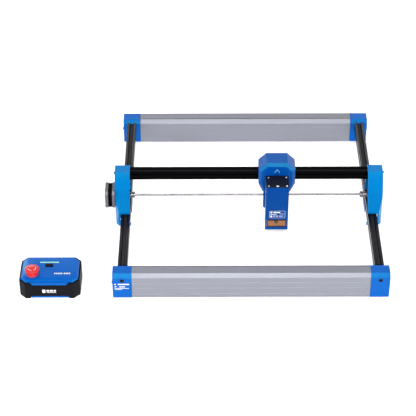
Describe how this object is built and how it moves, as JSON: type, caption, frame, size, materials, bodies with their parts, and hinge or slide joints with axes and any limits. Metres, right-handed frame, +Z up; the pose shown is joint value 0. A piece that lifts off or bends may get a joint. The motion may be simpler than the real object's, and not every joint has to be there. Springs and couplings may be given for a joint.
{
  "type": "desktop laser cutter",
  "caption": "Open-frame desktop laser cutter: belt-driven gantry and laser head over a rectangular frame, with a separate control box that carries an emergency stop.",
  "frame": {"origin": "middle of the whole object's footprint, on the desk", "axes": "+X to the machine's right, +Y from the front beam to the rear beam, +Z up"},
  "size_m": [0.78, 0.6, 0.165],
  "materials": {
    "blue_plastic": "satin moulded plastic",
    "blue_metal": "satin blue anodised aluminium",
    "silver_anodised": "matt silver anodised",
    "black_anodised": "satin black anodised",
    "black_steel": "blackened",
    "motor_metal": "cast end bells",
    "bright_steel": "ground",
    "heat_sink_aluminium": "milled",
    "belt_rubber": "matt",
    "foot_rubber": "matt",
    "roller_plastic": "turned acetal",
    "black_plastic": "fine texture",
    "amber_shield": "tinted acrylic",
    "dark_brass": "dark",
    "red_plastic": "gloss",
    "status_glow": "diffuse light guide"
  },
  "bodies": {
    "frame": {"front_beam": "silver_anodised", "rear_beam": "silver_anodised", "front_left_cap": "blue_plastic", "front_right_cap": "blue_plastic", "rear_left_cap": "blue_plastic", "rear_right_cap": "blue_plastic", "left_rail": "black_anodised", "right_rail": "black_anodised", "front_left_foot": "foot_rubber", "front_right_foot": "foot_rubber", "rear_left_foot": "foot_rubber", "rear_right_foot": "foot_rubber", "left_belt": "belt_rubber", "right_belt": "belt_rubber", "left_rail_screw": "black_steel", "right_rail_screw": "black_steel"},
    "gantry": {"cross_beam": "black_anodised", "cross_belt": "belt_rubber", "left_cover": "blue_plastic", "right_cover": "blue_plastic", "left_carriage_plate": "black_anodised", "right_carriage_plate": "black_anodised", "gantry_motor": "motor_metal", "left_belt_loop": "belt_rubber", "right_belt_loop": "belt_rubber"},
    "drive_line": {"drive_shaft": "bright_steel", "left_coupling": "bright_steel", "right_coupling": "bright_steel", "left_pulley": "bright_steel", "right_pulley": "bright_steel"},
    "laser_carriage": {"head_housing": "blue_plastic", "head_carriage_plate": "black_anodised", "head_motor": "motor_metal", "head_belt_loop": "belt_rubber"},
    "head_pulley": {"head_pulley": "bright_steel"},
    "laser_module": {"laser_module_body": "blue_metal", "module_top_plate": "black_plastic", "laser_heat_sink": "heat_sink_aluminium", "laser_nozzle": "dark_brass", "module_window": "amber_shield"},
    "cooling_fan": {"cooling_fan": "black_plastic"},
    "focus_knob": {"focus_lock_knob": "black_plastic"},
    "control_box": {"control_box_shell": "black_plastic", "control_box_base": "blue_plastic", "control_box_lid": "blue_plastic", "status_light": "status_glow", "control_box_socket": "black_plastic", "emergency_stop_collar": "red_plastic"},
    "stop_stem": {"emergency_stop_stem": "red_plastic"},
    "stop_head": {"emergency_stop_head": "red_plastic"},
    "power_button": {"power_button": "black_plastic"},
    "left_front_roller": {"left_front_roller": "roller_plastic"},
    "left_rear_roller": {"left_rear_roller": "roller_plastic"},
    "left_lower_roller": {"left_lower_roller": "roller_plastic"},
    "right_front_roller": {"right_front_roller": "roller_plastic"},
    "right_rear_roller": {"right_rear_roller": "roller_plastic"},
    "right_lower_roller": {"right_lower_roller": "roller_plastic"},
    "head_left_roller": {"head_left_roller": "roller_plastic"},
    "head_right_roller": {"head_right_roller": "roller_plastic"},
    "head_lower_roller": {"head_lower_roller": "roller_plastic"}
  },
  "joints": [
    {"name": "gantry_slide", "type": "slide", "parent": "frame", "child": "gantry", "axis": [0, 1, 0], "range_m": [-0.166, 0.259]},
    {"name": "head_slide", "type": "slide", "parent": "gantry", "child": "laser_carriage", "axis": [1, 0, 0], "range_m": [-0.272, 0.15]},
    {"name": "focus_slide", "type": "slide", "parent": "laser_carriage", "child": "laser_module", "axis": [0, 0, 1], "range_m": [-0.012, 0.025]},
    {"name": "focus_knob_turn", "type": "hinge", "parent": "laser_carriage", "child": "focus_knob", "pos_m": [0.157, -0.045, 0.06], "axis": [0, 1, 0], "range_deg": [-360, 360]},
    {"name": "fan_spin", "type": "hinge", "parent": "laser_module", "child": "cooling_fan", "pos_m": [0.157, -0.0729, 0.119], "axis": [0, 0, 1], "continuous": true},
    {"name": "drive_line_turn", "type": "hinge", "parent": "gantry", "child": "drive_line", "pos_m": [0.096, -0.046, 0.078], "axis": [1, 0, 0], "continuous": true},
    {"name": "left_front_roller_turn", "type": "hinge", "parent": "gantry", "child": "left_front_roller", "pos_m": [-0.174, -0.071, 0.0631], "axis": [1, 0, 0], "continuous": true},
    {"name": "left_rear_roller_turn", "type": "hinge", "parent": "gantry", "child": "left_rear_roller", "pos_m": [-0.174, -0.021, 0.0631], "axis": [1, 0, 0], "continuous": true},
    {"name": "left_lower_roller_turn", "type": "hinge", "parent": "gantry", "child": "left_lower_roller", "pos_m": [-0.174, -0.046, 0.0319], "axis": [1, 0, 0], "continuous": true},
    {"name": "right_front_roller_turn", "type": "hinge", "parent": "gantry", "child": "right_front_roller", "pos_m": [0.366, -0.071, 0.0631], "axis": [1, 0, 0], "continuous": true},
    {"name": "right_rear_roller_turn", "type": "hinge", "parent": "gantry", "child": "right_rear_roller", "pos_m": [0.366, -0.021, 0.0631], "axis": [1, 0, 0], "continuous": true},
    {"name": "right_lower_roller_turn", "type": "hinge", "parent": "gantry", "child": "right_lower_roller", "pos_m": [0.366, -0.046, 0.0319], "axis": [1, 0, 0], "continuous": true},
    {"name": "head_left_roller_turn", "type": "hinge", "parent": "laser_carriage", "child": "head_left_roller", "pos_m": [0.132, -0.0225, 0.1356], "axis": [0, 1, 0], "continuous": true},
    {"name": "head_right_roller_turn", "type": "hinge", "parent": "laser_carriage", "child": "head_right_roller", "pos_m": [0.182, -0.0225, 0.1356], "axis": [0, 1, 0], "continuous": true},
    {"name": "head_lower_roller_turn", "type": "hinge", "parent": "laser_carriage", "child": "head_lower_roller", "pos_m": [0.157, -0.0225, 0.1044], "axis": [0, 1, 0], "continuous": true},
    {"name": "head_pulley_turn", "type": "hinge", "parent": "laser_carriage", "child": "head_pulley", "pos_m": [0.157, -0.0225, 0.142], "axis": [0, 1, 0], "continuous": true},
    {"name": "control_box_slide", "type": "slide", "parent": "frame", "child": "control_box", "axis": [1, 0, 0], "range_m": [-0.12, 0.03]},
    {"name": "stop_press", "type": "slide", "parent": "control_box", "child": "stop_stem", "axis": [0, 0, 1], "range_m": [-0.004, 0]},
    {"name": "stop_twist", "type": "hinge", "parent": "stop_stem", "child": "stop_head", "pos_m": [-0.3622, -0.276, 0.06], "axis": [0, 0, 1], "range_deg": [-45, 0], "stiffness_Nm_per_rad": 0.05},
    {"name": "power_button_press", "type": "slide", "parent": "control_box", "child": "power_button", "axis": [0, 0, 1], "range_m": [-0.0015, 0], "stiffness_N_per_m": 400}
  ],
  "couplings": [
    {"joint": "drive_line_turn", "follows": "gantry_slide", "rad_per_m": 157.08},
    {"joint": "left_front_roller_turn", "follows": "gantry_slide", "rad_per_m": -151.51},
    {"joint": "left_rear_roller_turn", "follows": "gantry_slide", "rad_per_m": -151.51},
    {"joint": "left_lower_roller_turn", "follows": "gantry_slide", "rad_per_m": 151.51},
    {"joint": "right_front_roller_turn", "follows": "gantry_slide", "rad_per_m": -151.51},
    {"joint": "right_rear_roller_turn", "follows": "gantry_slide", "rad_per_m": -151.51},
    {"joint": "right_lower_roller_turn", "follows": "gantry_slide", "rad_per_m": 151.51},
    {"joint": "head_left_roller_turn", "follows": "head_slide", "rad_per_m": 151.51},
    {"joint": "head_right_roller_turn", "follows": "head_slide", "rad_per_m": 151.51},
    {"joint": "head_lower_roller_turn", "follows": "head_slide", "rad_per_m": -151.51},
    {"joint": "head_pulley_turn", "follows": "head_slide", "rad_per_m": -157.08}
  ]
}
